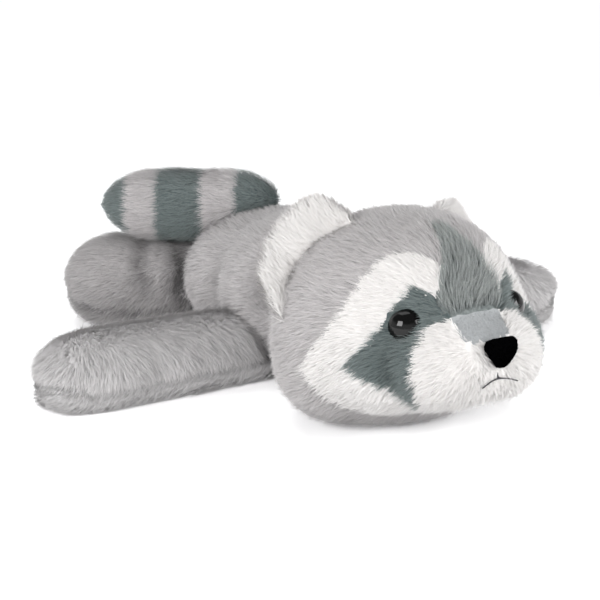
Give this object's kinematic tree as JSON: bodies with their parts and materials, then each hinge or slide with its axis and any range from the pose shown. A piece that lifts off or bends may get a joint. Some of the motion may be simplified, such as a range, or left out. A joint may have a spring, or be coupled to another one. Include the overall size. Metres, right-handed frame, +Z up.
{
  "type": "plush slap bracelet",
  "caption": "Plush raccoon lying on its belly, with a bistable slap band sewn inside its outstretched arms so that it hugs a wrist.",
  "frame": {"origin": "on the ground under the middle of the slap band, on the flat of the belly", "axes": "+Z up, the face looks along -Y, the arms and the slap band lie along X, the animal's left at +X"},
  "size_m": [0.22, 0.2135, 0.0758],
  "materials": {
    "grey_plush": "long pile plush",
    "dark_plush": "long pile plush",
    "white_plush": "long pile plush",
    "bridge_plush": "short pile plush",
    "eye_plastic": "polished",
    "nose_flock": "flocked",
    "washer_plastic": "moulded",
    "black_thread": "embroidery thread",
    "stuffing": "loose polyester fibre",
    "sleeve_cloth": "woven lining",
    "band_steel": "rolled spring steel"
  },
  "bodies": {
    "root": {"arm_stuffing_left": "stuffing", "arm_stuffing_right": "stuffing", "arm_under_left": "grey_plush", "arm_under_right": "grey_plush", "arm_upper_left": "grey_plush", "arm_upper_right": "grey_plush", "band_sleeve": "sleeve_cloth", "blaze": "dark_plush", "cheek_left": "white_plush", "cheek_right": "white_plush", "chin": "white_plush", "ear_back_left": "grey_plush", "ear_back_right": "grey_plush", "ear_lining_left": "white_plush", "ear_lining_right": "white_plush", "eye_left": "eye_plastic", "eye_left_washer": "washer_plastic", "eye_right": "eye_plastic", "eye_right_washer": "washer_plastic", "head_back": "grey_plush", "head_side_left": "grey_plush", "head_side_right": "grey_plush", "head_stuffing": "stuffing", "jaw": "grey_plush", "leg_stuffing_left": "stuffing", "leg_stuffing_right": "stuffing", "leg_under_left": "grey_plush", "leg_under_right": "grey_plush", "leg_upper_left": "grey_plush", "leg_upper_right": "grey_plush", "mask_left": "dark_plush", "mask_right": "dark_plush", "mouth_thread": "black_thread", "muzzle_left": "white_plush", "muzzle_right": "white_plush", "nose": "nose_flock", "nose_bridge": "bridge_plush", "nose_washer": "washer_plastic", "slap_band": "band_steel", "tail_band_1": "dark_plush", "tail_band_2": "grey_plush", "tail_band_3": "dark_plush", "tail_band_4": "grey_plush", "tail_band_5": "dark_plush", "tail_stuffing": "stuffing", "torso_back": "grey_plush", "torso_belly": "grey_plush", "torso_stuffing": "stuffing"}
  },
  "joints": []
}
